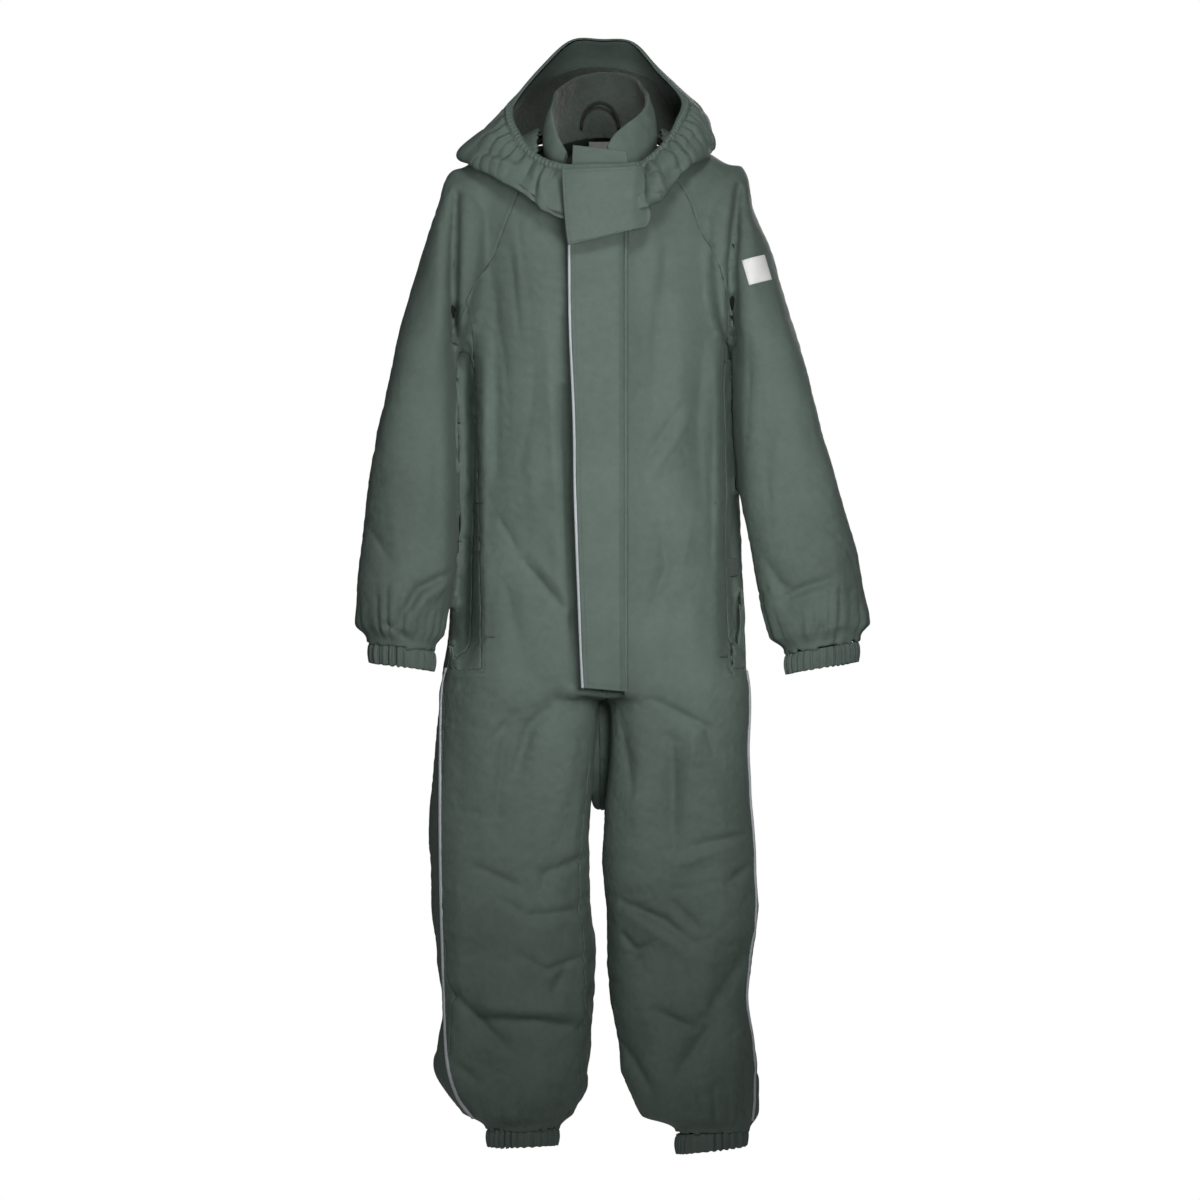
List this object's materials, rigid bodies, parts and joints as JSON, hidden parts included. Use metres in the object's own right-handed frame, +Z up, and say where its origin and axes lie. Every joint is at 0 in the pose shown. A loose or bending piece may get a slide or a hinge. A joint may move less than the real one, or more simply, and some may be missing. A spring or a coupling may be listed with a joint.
{
  "type": "hooded overall",
  "caption": "Child's lined one-piece outdoor overall with hood, storm flap over a front zip, raglan sleeves and elastic cuffs and ankles, as it hangs.",
  "frame": {"origin": "middle of the neck opening, where the stem of a coat hanger passes", "axes": "+Z up, -Y to the front of the garment, +X to the wearer's left"},
  "size_m": [0.5322, 0.2095, 1.1867],
  "materials": {
    "shell": "matt coated woven polyamide",
    "lining": "matt woven",
    "hood_fleece": "brushed fleece",
    "piping": "reflective",
    "label": "satin",
    "zip_tape": "woven tape",
    "zip_metal": "dark plated",
    "hook_loop": "hook and loop",
    "strap": "woven tape"
  },
  "bodies": {
    "trunk": {"back_panel_left": "shell", "back_panel_right": "shell", "collar": "shell", "collar_lining": "lining", "collar_tab": "shell", "front_panel_left": "shell", "front_panel_right": "shell", "hanger_loop": "strap", "pocket_bag_left": "lining", "pocket_bag_right": "lining", "seat_gusset": "shell", "side_panel_left": "shell", "side_panel_right": "shell", "size_label": "label", "sleeve_cap_left": "shell", "sleeve_cap_right": "shell", "snap_stud_1": "zip_metal", "snap_stud_2": "zip_metal", "snap_stud_3": "zip_metal", "storm_flap_base": "shell", "storm_flap_top": "shell", "torso_lining": "lining", "waist_tab": "strap", "zip_stop": "zip_metal", "zip_tape_left": "zip_tape", "zip_tape_right": "zip_tape", "zip_teeth_left": "zip_metal", "zip_teeth_right": "zip_metal"},
    "sleeve_right": {"sleeve_right": "shell", "sleeve_lining_right": "lining", "cuff_right": "shell"},
    "sleeve_left": {"sleeve_left": "shell", "sleeve_lining_left": "lining", "cuff_left": "shell", "sleeve_badge": "label"},
    "leg_right": {"leg_front_right": "shell", "leg_back_right": "shell", "leg_lining_right": "lining", "ankle_band_right": "shell", "leg_piping_right": "piping"},
    "leg_left": {"leg_front_left": "shell", "leg_back_left": "shell", "leg_lining_left": "lining", "ankle_band_left": "shell", "leg_piping_left": "piping"},
    "hood": {"hood_panel_left": "shell", "hood_panel_right": "shell", "hood_facing": "shell", "hood_lining": "hood_fleece"},
    "chin_flap": {"chin_flap": "shell", "chin_patch": "hook_loop"},
    "storm_flap": {"storm_flap": "shell", "storm_flap_piping": "piping", "snap_socket_1": "zip_metal", "snap_socket_2": "zip_metal", "snap_socket_3": "zip_metal"},
    "zip_slider": {"zip_slider": "zip_metal"},
    "zip_pull": {"zip_pull": "zip_metal"}
  },
  "joints": [
    {"name": "hood_turn", "type": "hinge", "parent": "trunk", "child": "hood", "pos_m": [0, 0.058, -0.016], "axis": [-1, 0, 0], "range_deg": [0, 35]},
    {"name": "chin_flap_open", "type": "hinge", "parent": "hood", "child": "chin_flap", "pos_m": [0.056, -0.1065, -0.1], "axis": [0, 0, 1], "range_deg": [0, 150]},
    {"name": "storm_flap_open", "type": "hinge", "parent": "trunk", "child": "storm_flap", "pos_m": [0.0285, -0.0876, -0.38], "axis": [0, 0, 1], "range_deg": [0, 150]},
    {"name": "zip_slide", "type": "slide", "parent": "trunk", "child": "zip_slider", "axis": [0, 0, -1], "range_m": [0, 0.43]},
    {"name": "zip_pull_swing", "type": "hinge", "parent": "zip_slider", "child": "zip_pull", "pos_m": [0.005, -0.0804, -0.14], "axis": [-1, 0, 0], "range_deg": [0, 10]},
    {"name": "sleeve_right_raise", "type": "hinge", "parent": "trunk", "child": "sleeve_right", "pos_m": [-0.157, -0.002, -0.06], "axis": [0, 1, 0], "range_deg": [0, 60]},
    {"name": "sleeve_left_raise", "type": "hinge", "parent": "trunk", "child": "sleeve_left", "pos_m": [0.154, -0.002, -0.06], "axis": [0, -1, 0], "range_deg": [0, 60]},
    {"name": "leg_right_swing", "type": "hinge", "parent": "trunk", "child": "leg_right", "pos_m": [-0.09, -0.07, -0.64], "axis": [-1, 0, 0], "range_deg": [0, 45]},
    {"name": "leg_left_swing", "type": "hinge", "parent": "trunk", "child": "leg_left", "pos_m": [0.088, -0.07, -0.64], "axis": [-1, 0, 0], "range_deg": [0, 45]}
  ]
}
